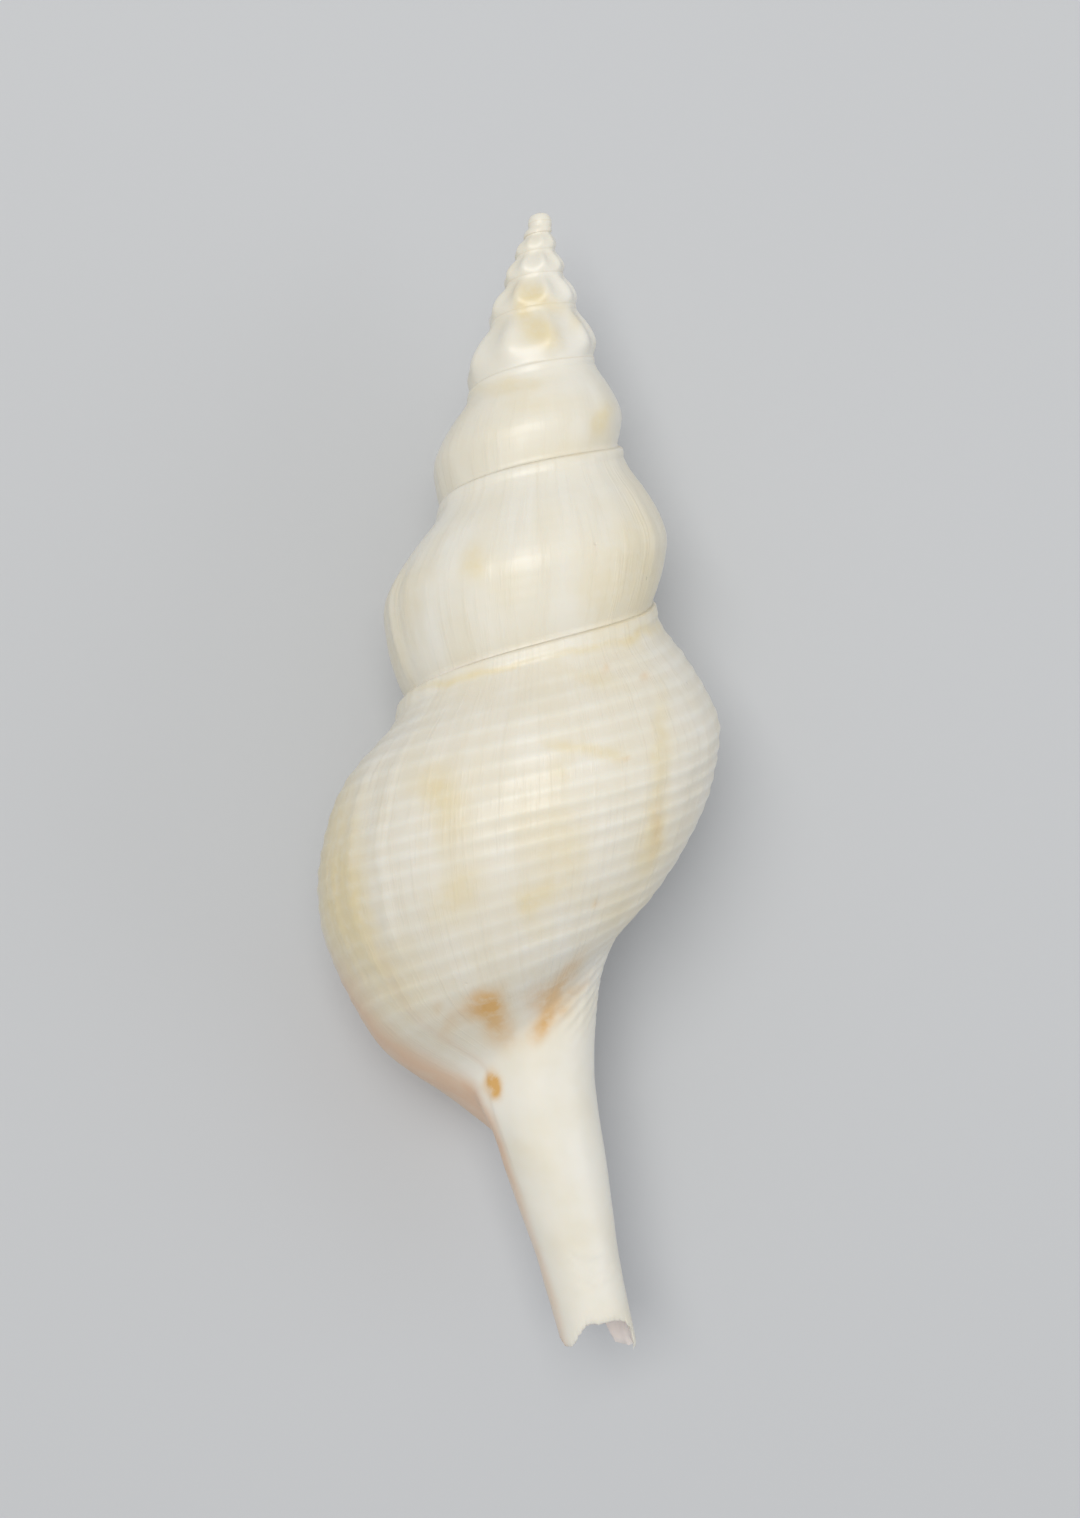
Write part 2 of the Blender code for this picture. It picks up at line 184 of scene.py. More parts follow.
def ease(t):
    t = np.clip(t, 0, 1)
    return t * t * (3 - 2 * t)


def softMax(a, b, blend):
    return (a + b + np.sqrt((a - b) ** 2 + blend**2)) / 2


def softNoise(seed):
    # smooth random lattice noise between -1 and 1, the same each run
    size = 32
    table = np.random.default_rng(seed).uniform(-1, 1, (size, size, size))

    def noise(x, y, z=0.0):
        x, y, z = np.broadcast_arrays(np.asarray(x, float), y, z)
        cells = [np.floor(v).astype(int) for v in (x, y, z)]
        shares = [ease(v - c) for v, c in zip((x, y, z), cells)]
        total = 0.0
        for corner in range(8):
            weight = 1.0
            spot = []
            for axis in range(3):
                far = corner >> axis & 1
                weight = weight * (shares[axis] if far else 1 - shares[axis])
                spot.append((cells[axis] + far) % size)
            total = total + weight * table[tuple(spot)]
        return total

    return noise


cordNoise = softNoise(3)
foldNoise = softNoise(5)
wearNoise = softNoise(8)
stainNoise = softNoise(13)


def swelling(depth, angle, spot):
    middle, spread, low, run, height = spot
    return height * np.exp(-(((angle - middle) / spread) ** 2) - ((depth - low) / run) ** 2)


def whorlRadius(depth, angle):
    # outer radius at a depth, for the smooth whorl alone, without sculpture or canal
    rim = rimRadius(angle)
    top = sutureDepth(angle)
    low = rimDepth(angle)
    late = ease(angle / 180.0)
    h = np.clip((depth - top) / (low - top), 0, 1)
    start = sutureShareCurve(angle / 180.0) * rim
    upper = start + (rim - start) * ((1 - late) * upperEarly(h) + late * upperLate(h))
    q = np.clip((depth - low) / rim, 0, 8)
    lower = rim * ((1 - late) * baseEarly(q) + late * baseLate(q))
    lower = lower + swelling(depth, angle, pinch)
    return np.where(depth < low, upper, lower)


def smoothRadius(depth, angle):
    # the whorl with the canal's tube, which grows only on the last turn and a bit
    rim = rimRadius(angle)
    grown = np.clip((angle - canal["youngAngle"]) / canal["youngSpan"], 0, 1)
    tube = canalCurve(depth) * (1 - canal["youngLoss"] + canal["youngLoss"] * grown)
    body = 0.0
    for offset, weight in ((-2, 1), (-1, 2), (0, 3), (1, 2), (2, 1)):
        body = body + weight / 9 * whorlRadius(depth + shell["blurStep"] * offset * rim, angle)
    q = np.clip((depth - rimDepth(angle)) / rim, 0, 8)
    blend = canal["joinBlend"]
    joined = softMax(body, tube, blend) - (softMax(rim, tube, blend) - rim) * np.exp(-4 * q)
    share = np.where(q > 0, np.clip((angle - canal["joinAngle"]) / canal["joinSpan"], 0, 1), 0)
    return body + share * (joined - body) + swelling(depth, angle, web)


sculpture = {
    "cordSpacing": 0.081,        # spiral cords on the last whorl, as a share of the whorl radius
    "cordHeight": 0.080,
    "firstCord": 0.115,          # place of the first one below the suture, as such a share too
    "cordDrift": 0.22,           # how far they wander, as a share of their spacing
    "oldCordHeight": 0.014,      # what is left of them on the worn whorls above
    "bandWidth": 0.060,          # raised band under the suture, as a share of the whorl radius
    "bandHeight": 0.075,
    "grooveDepth": 0.030,
    "ribs": 9,                   # axial ribs in a turn of the spire
    "ribHeight": 0.060,          # as a share of the whorl radius
    "ribEnd": -640.0,            # turn angle where the ribs have faded away, and how long they take
    "ribEndSpan": 520.0,
    "ribStart": -2420.0,         # turn angle where they begin, and how long they take
    "ribStartSpan": 700.0,
    "tipRadius": 0.63,           # the smooth knob that the shell began as
    "wear": 0.035,
    "swellHeight": 0.035,        # low axial swellings of growth
    "beadHeight": 0.045,         # the beaded patch on the left
    "stopAngle": 142.0,          # the growth stop down the left of the base
    "stopHeight": 0.05,
    "scarHeight": 0.045,         # the healed ripples across the canal's back
}
# Where the cords are rubbed down: turn angle, how far that spreads, and the share that is gone.
rubbedPlaces = [(80, 26.0, 0.20), (114, 18.0, 0.50)]
# Old growth stops and ridges along the lip's line: turn angle, half width in degrees, height,
# and the depths they run between.
folds = [
    (134, 1.8, 0.10, 27.0, 39.5),
    (140, 1.3, -0.06, 28.0, 39.0),
    (147, 2.0, 0.11, 28.5, 40.5),
    (117, 1.4, -0.05, 26.0, 31.0),
    (50, 1.8, -0.05, 25.0, 34.0),
    (96, 2.5, 0.04, 25.5, 37.0),
    (72, 2.6, 0.04, 25.0, 36.0),
    (-199, 2.2, 0.09, 18.5, 25.6),
    (-206, 1.6, -0.05, 18.5, 25.6),
    (-327, 3.4, 0.07, 14.5, 20.0),
    (-318, 2.5, -0.03, 14.5, 20.0),
    (-262, 4.0, 0.03, 16.5, 22.5),
]


def cordRelief(depth, angle):
    rim = rimRadius(angle)
    fall = (depth - sutureDepth(angle)) / rim
    along = angle * math.pi / 180 * rim
    drift = sculpture["cordDrift"] * cordNoise(angle / 45.0, fall * 3.0)
    phase = (fall - sculpture["firstCord"]) / sculpture["cordSpacing"] + drift
    index = np.floor(phase + 0.5)
    strength = 0.8 + 0.35 * cordNoise(index * 0.77, 4.5)
    broken = 0.85 + 0.40 * cordNoise(along / 2.6, index * 0.9, 7.5)
    broken = broken + 0.25 * cordNoise(along / 0.7, index * 0.9, 3.5)
    crest = (0.5 + 0.5 * np.cos(2 * np.pi * phase)) ** 1.9
    between = (0.5 - 0.5 * np.cos(2 * np.pi * phase)) ** 3
    fresh = ease((angle + 170) / 150.0)
    height = sculpture["oldCordHeight"] + (sculpture["cordHeight"] - sculpture["oldCordHeight"]) * fresh
    # the middle of the back is rubbed, and its shoulder once more
    rubbed = 1.0
    for at, spread, gone in rubbedPlaces:
        rubbed = rubbed - gone * np.exp(-(((angle - at) / spread) ** 2))
    rubbed = rubbed * (1 - 0.5 * np.exp(-(((angle - 100) / 34.0) ** 2)) * ease((0.42 - fall) / 0.22))
    span = ease((fall - 0.085) / 0.05) * ease((44.3 - depth) / 3.0)
    return height * rubbed * span * (crest * strength * broken + 0.25 * between * (broken - 0.6))


def relief(depth, angle):
    # everything that stands on the smooth whorl, in millimetres outwards
    rim = rimRadius(angle)
    top = sutureDepth(angle)
    fall = (depth - top) / rim
    total = cordRelief(depth, angle)
    # raised band under the suture with a shallow groove below it
    size = np.clip(rim / 10.0, 0.1, 1.2)
    wide = sculpture["bandWidth"]
    band = ease(fall / 0.006) * ease((wide * 1.25 - fall) / (wide * 0.45))
    band = band * (1 + 0.30 * cordNoise(angle / 6.0, 2.5))
    groove = np.exp(-(((fall - wide * 1.42) / 0.014) ** 2)) * (0.7 + 0.5 * cordNoise(angle / 9.0, 8.5))
    total = total + np.sqrt(size) * (sculpture["bandHeight"] * band - sculpture["grooveDepth"] * groove)
    # ribs, strong on the upper whorls and gone on the last two
    following = sutureDepth(angle + 360)
    h = np.clip((depth - top) / np.maximum(following - top, 0.01), 0, 1)
    ribFade = np.clip((sculpture["ribEnd"] - angle) / sculpture["ribEndSpan"], 0, 1)
    ribFade = ribFade * np.clip((angle - sculpture["ribStart"]) / sculpture["ribStartSpan"], 0, 1)
    swing = 8 * (h - 0.5)
    ridge = np.cos(np.radians(sculpture["ribs"] * (angle + swing) + 20))
    ridge = ridge + 0.25 * ridge * ridge
    total = total + sculpture["ribHeight"] * rim * ribFade * np.sin(np.pi * h) ** 1.2 * ridge
    for at, half, height, first, last in folds:
        run = ease((depth - first) / 1.5) * ease((last - depth) / 1.5)
        wander = 1.2 * foldNoise(depth / 2.5, at * 0.37)
        total = total + height * run * np.exp(-(((angle + wander - at) / half) ** 2))
    # low axial swellings of growth, and the beaded patch where they cross the cords
    swell = foldNoise(angle / 7.0, depth / 14.0, 1.5)
    total = total + sculpture["swellHeight"] * size * swell * ease((44 - depth) / 4.0)
    patch = np.exp(-(((angle - 152) / 13.0) ** 2)) * ease((depth - 32.5) / 1.5) * ease((41.5 - depth) / 1.5)
    uneven = 0.7 + 0.5 * foldNoise(depth * 1.2, angle)
    total = total + sculpture["beadHeight"] * patch * np.cos(np.radians(angle * 62)) * uneven
    # the step of the growth stop that runs down the left of the base, onto the canal
    past = angle - (sculpture["stopAngle"] - 1) - 1.2 * foldNoise(depth / 1.6, 9.5)
    step = ease(past / 2.4) * ease((depth - 38.5) / 1.5)
    total = total - sculpture["stopHeight"] * step * ease((53 - depth) / 6.0)
    # the healed scar across the canal's back
    scar = np.exp(-(((angle - 62) / 36.0) ** 2)) * ease((depth - 53.8) / 0.9) * ease((56.8 - depth) / 0.9)
    ripple = 8.5 * depth + angle / 22.0 + 3.2 * foldNoise(angle / 17.0, depth / 1.1)
    total = total + sculpture["scarHeight"] * scar * np.sin(ripple)
    return total


def outerRadius(depth, angle):
    base = smoothRadius(depth, angle)
    radius = base + relief(depth, angle)
    turned = np.radians(angle)
    x = radius * np.cos(turned)
    z = radius * np.sin(turned)
    wear = wearNoise(x / 1.7, depth / 2.2, z / 1.7) + 0.5 * wearNoise(x / 0.7, depth / 0.9, z / 0.7 + 9)
    radius = radius + sculpture["wear"] * wear * np.clip(base / 3.0, 0.15, 1)
    # the first whorls keep a smooth round knob
    r = sculpture["tipRadius"]
    knob = np.sqrt(np.clip(r * r - (depth - r) ** 2, 1e-6, None))
    early = ease((1.25 - depth) / 0.5)
    return radius + early * (np.maximum(radius, knob) - radius)


def bend(depth):
    # sideways run of the canal after a smooth start, and the lean of the spire tip
    start = canal["bendStart"]
    span = canal["bendSpan"]
    slope = canal["bendSlope"]
    t = np.clip((depth - start) / span, 0, 1)
    tip = canal["tipLean"] * ease((canal["tipRun"] - depth) / canal["tipRun"])
    straight = slope * (depth - (start + span / 2))
    return tip + np.where(depth < start + span, slope * span / 2 * t * t, straight)


def fromAxis(side, depth, height):
    # points given from the coiling axis, in the frame's own millimetres
    middle = (cadLow.x + cadHigh.x) / 2 / unit
    side, depth, height = np.broadcast_arrays(side, depth, height)
    return np.stack(
        [
            side + middle + shell["axisSide"],
            cadHigh.y / unit - depth,
            height + shell["axisHeight"] + cadLow.z / unit,
        ],
        axis=-1,
    )


def place(depth, angle, radius):
    a = np.radians(angle)
    return fromAxis(radius * np.cos(a) + bend(depth), depth, radius * np.sin(a))


def newObject(name, points, faces):
    mesh = bpy.data.meshes.new(name)
    mesh.from_pydata((np.array(points) * unit).tolist(), [], faces)
    made = bpy.data.objects.new(name, mesh)
    bpy.context.scene.collection.objects.link(made)
    model = bmesh.new()
    model.from_mesh(mesh)
    bmesh.ops.remove_doubles(model, verts=model.verts, dist=1e-8)
    bmesh.ops.triangulate(model, faces=[f for f in model.faces if len(f.verts) > 4])
    bmesh.ops.recalc_face_normals(model, faces=model.faces)
    model.to_mesh(mesh)
    model.free()
    return made


def ringFaces(count, first, second):
    # faces between two rings of points that start at these numbers
    faces = []
    for i in range(count):
        j = (i + 1) % count
        faces.append((first + i, second + i, second + j, first + j))
    return faces


def buildSkin():
    # the whole outside as one closed skin: a coiled strip, the canal's end and the face at the lip
    turn = shell["columns"]
    step = 360.0 / turn
    columns = int(round((shell["lipAngle"] - shell["firstAngle"]) / step)) + 1
    angles = shell["lipAngle"] - step * np.arange(columns)[::-1]
    points = []
    count = 0
    grid = []
    bottoms = []
    for whorl in reversed(range(math.ceil((columns - 1) / turn))):
        rows = shell["whorlRows"][min(whorl, len(shell["whorlRows"]) - 1)] + 2
        first = max(columns - 1 - turn * (whorl + 1), 0)
        last = columns - turn * whorl - (1 if whorl else 0)
        angle = angles[first:last, None]
        top = sutureDepth(angle)
        following = sutureDepth(angle + 360)
        # two more rows close under the suture keep its line crisp
        share = np.insert(np.linspace(0, 1, rows - 1), 1, [0.12 / rows, 0.35 / rows])
        depth = top + (following - top) * (0.75 * share + 0.25 * share**2)
        if whorl == 0:
            share = np.linspace(0, 1, shell["lowRows"] + 1)[1:]
            # the canal ends a little further on at its lower right, where the wall is longest
            end = shell["length"] + 0.45 * np.exp(-(((angle + 75) / 50.0) ** 2))
            lower = following + (end - following) * (0.6 * share + 0.4 * share**2)
            depth = np.concatenate([depth, lower], axis=1)
        at = angle + lipShift(depth)
        at[:, :1] = angle
        placed = place(depth, at, outerRadius(depth, at))
        for i, c in enumerate(range(first, last)):
            # the top of a column is the bottom of the one a turn before
            shared = [grid[c - turn][bottoms[c - turn]]] if c >= turn else []
            points.append(placed[i][len(shared):])
            grid.append(shared + list(range(count, count + len(points[-1]))))
            count += len(points[-1])
            bottoms.append(rows)
    points = np.concatenate(points)
    faces = []
    for c in range(columns - 1):
        left = grid[c]
        right = grid[c + 1]
        if len(left) == len(right):
            for row in range(len(left) - 1):
                faces.append((left[row], left[row + 1], right[row + 1], right[row]))
        else:
            faces += zipColumns(points, left[: bottoms[c] + 1], right[: bottoms[c + 1] + 1])
    # the spire tip
    rim = [grid[c][0] for c in range(turn + 1)] + grid[0][bottoms[0] - 1 : 0 : -1]
    middle = points[rim].mean(axis=0)
    crown = fromAxis(0, 0.0, 0)
    crown[0] = middle[0]
    crown[2] = middle[2]
    points = np.concatenate([points, [crown]])
    for a, b in zip(rim, rim[1:] + rim[:1]):
        faces.append((a, b, len(points) - 1))
    # the face that the lip ends in, against the whorl one turn before
    faces += zipColumns(points, grid[-1], grid[columns - turn - 1][bottoms[columns - turn - 1]:])
    # the canal's end
    ring = [grid[c][-1] for c in range(columns - turn - 1, columns)]
    points = np.concatenate([points, [points[ring].mean(axis=0)]])
    for a, b in zip(ring, ring[1:] + ring[:1]):
        faces.append((a, b, len(points) - 1))
    return newObject("shellSkin", points, faces)


def zipColumns(points, one, two):
    # triangles between two columns of points that run the same way with different counts
    faces = []
    i = 0
    j = 0
    while i < len(one) - 1 or j < len(two) - 1:
        nextOne = points[one[i + 1]][1] if i < len(one) - 1 else -1e9
        nextTwo = points[two[j + 1]][1] if j < len(two) - 1 else -1e9
        if nextOne > nextTwo:
            if one[i] != two[j]:
                faces.append((one[i], one[i + 1], two[j]))
            else:
                faces.append((one[i], one[i + 1], two[j + 1]))
                j += 1
            i += 1
        else:
            faces.append((one[i], two[j + 1], two[j]))
            j += 1
    return faces


wall = {
    "lip": 0.45,
    "deep": 1.0,
    "callus": 0.25,              # glaze laid over the whorl inside the aperture
    "pillar": 0.20,              # radius of the columella, as a share of the whorl above
    "firstAngle": -490.0,        # the room inside is modelled two turns deep
    "lastAngle": 290.0,
    "liraHeight": 0.035,         # faint ridges inside the outer lip
    "thickenSpan": 60.0,         # the wall reaches its deep thickness this many degrees inside the lip
    "thinning": 0.7,             # how the wall thins with the whorl's radius, as a power
    "steepest": 2.5,             # slope of the outside past which the wall's thickness grows no further
    "pillarBlend": 0.6,          # softness where the whorl above runs into the columella
    "closingRadius": 3.7,        # the columella past the lip, where it closes the aperture's low end,
    "closingAngle": 248,         # from here on, over this many degrees
    "closingSpan": 38.0,
    "closingBlend": 0.4,
    "lipGrowth": 25,             # the hollow past the lip keeps the shape the whorl has this far on
    "sectionReach": 1.9,         # depth looked through for a section, in whorl radii
    "sectionSamples": 1500,
    "sectionPoints": 48,
    "leastGap": 0.02,            # a section ends where the walls are this close
}


def hollowSection(angle, count):
    # a ring round the room inside at one angle: down its outer wall, then back up the columella
    grown = min(angle, shell["lipAngle"] + wall["lipGrowth"])
    top = sutureDepth(angle)
    depth = np.linspace(top, top + wall["sectionReach"] * rimRadius(angle), wall["sectionSamples"])
    near = np.clip((shell["lipAngle"] - angle) / wall["thickenSpan"], 0, 1)
    size = min((rimRadius(angle) / shell["lastRim"]) ** wall["thinning"], 1)
    thick = (wall["lip"] + (wall["deep"] - wall["lip"]) * near) * size
    outside = whorlRadius(depth, grown)
    slope = np.clip(np.gradient(outside, depth), -wall["steepest"], wall["steepest"])
    outside = outside - thick * np.sqrt(1 + slope**2)
    pillar = wall["pillar"] * rimRadius(angle - 360)
    inside = softMax(whorlRadius(depth, angle - 360), pillar, wall["pillarBlend"]) + wall["callus"] * size
    # past the lip the columella swells to meet the right wall of the canal
    swollen = wall["closingRadius"] * ease((angle - wall["closingAngle"]) / wall["closingSpan"])
    inside = softMax(inside, swollen, wall["closingBlend"])
    gap = outside - inside
    widest = np.argmax(gap)
    closed = np.where(gap <= wall["leastGap"])[0]
    before = closed[closed < widest]
    after = closed[closed > widest]
    first = edgeDepth(depth, gap, before[-1]) if len(before) else depth[0]
    last = edgeDepth(depth, gap, after[0] - 1) if len(after) else depth[-1]
    share = (1 - np.cos(np.linspace(0, np.pi, count))) / 2
    at = first + (last - first) * share
    outer = np.interp(at, depth, outside)
    inner = np.interp(at, depth, inside)
    lira = 0.5 + 0.5 * np.cos(2 * np.pi * (at - top) / rimRadius(angle) / sculpture["cordSpacing"] / 1.5)
    seen = ease((angle - 120) / 40.0) * ease(8 * share) * ease(8 * (1 - share))
    outer = outer - wall["liraHeight"] * lira * seen
    one = place(at, angle, outer)
    two = place(at[-2:0:-1], angle, inner[-2:0:-1])
    return np.concatenate([one, two])


def edgeDepth(depth, gap, i):
    # where the gap passes the least one between one sample and the next
    share = (wall["leastGap"] - gap[i]) / (gap[i + 1] - gap[i])
    return depth[i] + (depth[i + 1] - depth[i]) * np.clip(share, 0, 1)


def buildHollow():
    # the room inside the whorls, from beyond the lip back round the columella
    coarser = 110    # the rings stand closer together from here to the lip, where they show
    angles = list(np.arange(wall["lastAngle"], coarser, -3.0))
    angles += list(np.arange(coarser, wall["firstAngle"], -8.0))
    return loftRings("hollowCutter", [hollowSection(angle, wall["sectionPoints"]) for angle in angles])


def loftRings(name, rings):
    # a closed solid through rings of as many points each
    sides = len(rings[0])
    last = (len(rings) - 1) * sides
    faces = [tuple(range(sides)), tuple(reversed(range(last, last + sides)))]
    for n in range(len(rings) - 1):
        faces += ringFaces(sides, n * sides, (n + 1) * sides)
    return newObject(name, np.concatenate(rings), faces)


def buildChannel():
    # the siphonal channel, open at the broken end
    sides = 56
    depths = np.linspace(canal["channelStart"], canal["cutEnd"] - 0.4, 60)
    turn = 2 * np.pi * np.arange(sides) / sides
    rings = []
    for depth in depths:
        a = np.radians(channelAngle(depth))
        r = channelRadius(depth) * (1 + 0.02 * wearNoise(np.cos(turn) * 1.5, np.sin(turn) * 1.5, depth / 1.5))
        x = bend(depth) + channelOffset(depth) * np.cos(a) + r * np.cos(turn)
        z = channelOffset(depth) * np.sin(a) + r * np.sin(turn)
        rings.append(fromAxis(x, depth, z))
    return loftRings("channelCutter", rings)


# Half width of the seam along the underside of the canal, by depth.
slitWidth = smoothCurve(
    [46.6, 47.6, 49, 52, 56, 58.7, 59.6, 60.1, 61.0],
    [0.35, 0.65, 0.8, 0.75, 0.70, 0.64, 0.76, 0.93, 1.25],
)


def buildSlit():
    # the open seam along the underside of the canal
    depths = np.linspace(canal["seamStart"], canal["cutEnd"], 49)
    points = []
    for depth in depths:
        worn = 0.05 * ease((58.5 - depth) / 2.0) + 0.01
        x = bend(depth) + canal["seamSide"] + worn * wearNoise(depth / 1.3, 4.0)
        half = slitWidth(depth) + worn * wearNoise(depth / 0.9, 11.0)
        for side, height in ((-half, -0.5), (half, -0.5), (half, -6.0), (-half, -6.0)):
            points.append(fromAxis(x + side, depth, height))
    faces = [(0, 1, 2, 3), tuple(4 * (len(depths) - 1) + i for i in (3, 2, 1, 0))]
    for n in range(len(depths) - 1):
        faces += ringFaces(4, 4 * n, 4 * n + 4)
    return newObject("slitCutter", points, faces)


def buildPrism(name, outline, low, high):
    # an outline of (sideways, depth) points made solid between two heights
    side, depth = np.array(outline).T
    points = np.concatenate([fromAxis(side, depth, low), fromAxis(side, depth, high)])
    n = len(outline)
    faces = [tuple(range(n)), tuple(reversed(range(n, 2 * n)))] + ringFaces(n, 0, n)
    return newObject(name, points, faces)


# The canal's back wall is broken further up than its sides.
breakOutline = [
    (2.10, 61.0), (2.10, 59.45), (2.15, 59.2), (2.30, 59.0), (2.46, 58.72), (2.62, 58.55), (2.90, 58.44),
    (3.2, 58.5), (3.6, 58.42), (4.1, 58.40), (4.45, 58.5), (4.72, 58.72), (4.92, 59.05), (5.02, 59.4),
    (5.1, 61.0),
]
# The left prong is worn to a rounded point.
prongOutline = [
    (-1.0, 57.0), (0.62, 57.75), (0.88, 58.7), (1.02, 59.2), (1.20, 59.60), (1.38, 59.84), (1.60, 59.95),
    (1.84, 59.84), (2.02, 59.58), (2.12, 59.3), (2.6, 58.9), (2.62, 61.0), (-1.0, 61.0),
]


def cut(target, cutter):
    modifier = target.modifiers.new(cutter.name, "BOOLEAN")
    modifier.operation = "DIFFERENCE"
    modifier.solver = "MANIFOLD"
    modifier.object = cutter


def carveShell():
    # cuts the skin and keeps only the finished mesh
    skin = buildSkin()
    print("skin:", len(skin.data.polygons), "faces")
    cutters = [
        buildHollow(),
        buildChannel(),
        buildSlit(),
        buildPrism("breakCutter", breakOutline, -0.6, 6.0),
        buildPrism("prongCutter", prongOutline, -6.0, 6.5),
        buildPrism("tableCutter", [(-40, -10), (40, -10), (40, 70), (-40, 70)], -20.0, -shell["axisHeight"]),
    ]
    for cutter in cutters:
        cut(skin, cutter)
    graph = bpy.context.evaluated_depsgraph_get()
    mesh = bpy.data.meshes.new_from_object(skin.evaluated_get(graph))
    mesh.name = "shellVisual"
    made = bpy.data.objects.new("shellVisual", mesh)
    bpy.context.scene.collection.objects.link(made)
    for helper in cutters + [skin]:
        bpy.data.objects.remove(helper, do_unlink=True)
    print("carved:", len(mesh.polygons), "faces")
    return made


breaks = {
    "merge": 0.0002,             # points this close are made one
    "sharp": 38,                 # degrees between faces from which an edge is rounded
    "aboveTable": 0.02,          # the flat that the shell lies on keeps its edge
    "spire": 1.5,                # and so does this much of the spire tip
    "passes": (2, 2, 1, 1),      # each pass takes in neighbours this many faces away
}


def softenBreaks(target):
    # joins doubled points and softens the cut edges, with the points close to them
    model = bmesh.new()
    model.from_mesh(target.data)
    bmesh.ops.remove_doubles(model, verts=model.verts, dist=breaks["merge"] * unit)
    bmesh.ops.triangulate(model, faces=[f for f in model.faces if len(f.verts) > 4])
    floorLevel = cadLow.z
    for reach in breaks["passes"]:
        sharp = set()
        for edge in model.edges:
            if len(edge.link_faces) == 2 and edge.calc_face_angle(0) > math.radians(breaks["sharp"]):
                middle = (edge.verts[0].co + edge.verts[1].co) / 2
                if middle.z > floorLevel + breaks["aboveTable"] * unit:
                    sharp.update(edge.verts)
        sharp = {v for v in sharp if v.co.y < cadHigh.y - breaks["spire"] * unit}
        region = set(sharp)
        for _ in range(reach):
            region |= {e.other_vert(v) for v in region for e in v.link_edges}
        region = [v for v in region if v.co.z > floorLevel + breaks["aboveTable"] / 2 * unit]
        allWays = {"use_axis_x": True, "use_axis_y": True, "use_axis_z": True}
        bmesh.ops.smooth_vert(model, verts=region, factor=0.5, **allWays)
    model.to_mesh(target.data)
    model.free()


stains = {
    # Seen from above: sideways and down from the tip, half width, half height, tilt in degrees, strength.
    "ochre": [
        (-2.75, 41.9, 0.74, 0.55, 25, 0.85),
        (-2.3, 42.5, 0.50, 0.60, 0, 0.55),
        (-1.9, 43.4, 0.62, 0.72, 15, 0.50),
        (-3.6, 42.6, 0.40, 0.50, -20, 0.25),
        (0.65, 41.8, 0.85, 0.62, 10, 0.62),
        (0.30, 43.1, 0.42, 0.78, -38, 0.85),
        (1.5, 40.5, 0.30, 1.10, -42, 0.50),
        (2.1, 41.2, 0.24, 0.80, -40, 0.30),
        (-2.33, 46.15, 0.30, 0.46, -8, 1.60),
        (-2.15, 46.80, 0.20, 0.26, -8, 0.80),
        (-4.6, 43.1, 0.32, 0.74, -25, 0.28),
        (-5.3, 42.3, 0.27, 0.47, -20, 0.22),
        (6.3, 32.8, 0.20, 1.17, -8, 0.26),
        (3.15, 36.6, 0.14, 0.18, 0, 0.40),
        (5.8, 24.6, 0.16, 0.24, 20, 0.35),
        (3.6, 24.2, 0.14, 0.20, -15, 0.30),
        (4.6, 28.9, 0.12, 0.12, 0, 0.45),
    ],
    "straw": [
        (-5.4, 30.5, 0.90, 0.80, 10, 0.85),
        (-4.7, 31.9, 0.80, 0.90, 0, 0.60),
        (-4.9, 33.4, 0.50, 0.80, 0, 0.35),
        (1.9, 28.35, 1.10, 0.30, -8, 0.80),
        (3.9, 28.7, 0.70, 0.34, -12, 0.65),
        (1.2, 29.6, 0.50, 0.50, 0, 0.40),
        (-3.9, 35.8, 0.80, 0.90, 10, 0.70),
        (-4.9, 37.0, 0.64, 0.85, 10, 0.55),
        (-0.5, 36.6, 0.48, 0.53, 0, 0.80),
        (0.5, 36.0, 0.60, 0.45, 15, 0.60),
        (-0.1, 38.0, 0.64, 0.64, 0, 0.40),
        (-10.6, 33.5, 1.00, 3.40, 2, 0.95),
        (-9.9, 37.6, 1.10, 2.20, 15, 0.85),
        (-7.9, 41.0, 1.40, 2.00, 30, 0.60),
        (6.5, 28.8, 0.34, 2.30, -3, 0.75),
        (6.1, 33.4, 0.60, 1.70, -12, 0.95),
        (4.6, 36.9, 0.90, 1.30, -35, 0.50),
        (-4.2, 24.75, 1.70, 0.17, 14, 0.90),
        (-1.4, 24.1, 1.00, 0.15, 12, 0.70),
        (2.3, 23.2, 1.30, 0.17, 14, 0.60),
        (5.4, 22.4, 0.90, 0.22, 22, 0.80),
        (3.0, 24.7, 1.20, 0.30, -14, 0.45),
        (-3.3, 18.7, 0.50, 0.70, 0, 0.80),
        (-1.6, 19.8, 0.80, 1.10, 0, 0.35),
        (5.3, 18.6, 1.00, 2.80, 0, 0.70),
        (3.4, 20.2, 0.90, 2.00, 0, 0.50),
        (-7.2, 21.6, 0.70, 2.20, 0, 0.45),
        (-0.3, 4.4, 0.70, 0.45, 0, 1.10),
        (-0.7, 5.3, 0.44, 0.42, 0, 0.90),
        (0.9, 4.9, 0.60, 0.30, -25, 0.60),
        (0.1, 6.2, 0.62, 0.52, 20, 1.10),
        (0.8, 6.9, 0.40, 0.40, 30, 0.85),
        (2.4, 5.4, 0.40, 0.80, -30, 0.60),
        (3.4, 11.0, 0.40, 0.66, -15, 1.00),
        (-1.4, 9.2, 1.48, 0.32, 5, 0.70),
        (-0.5, 10.1, 1.06, 0.42, 0, 0.40),
        (2.3, 12.4, 1.60, 0.50, 10, 0.35),
        (0.7, 33.2, 1.10, 2.30, 0, 0.45),
        (1.9, 34.4, 0.50, 1.50, 0, 0.35),
        (-0.4, 55.2, 0.30, 0.30, 0, 0.20),
    ],
}
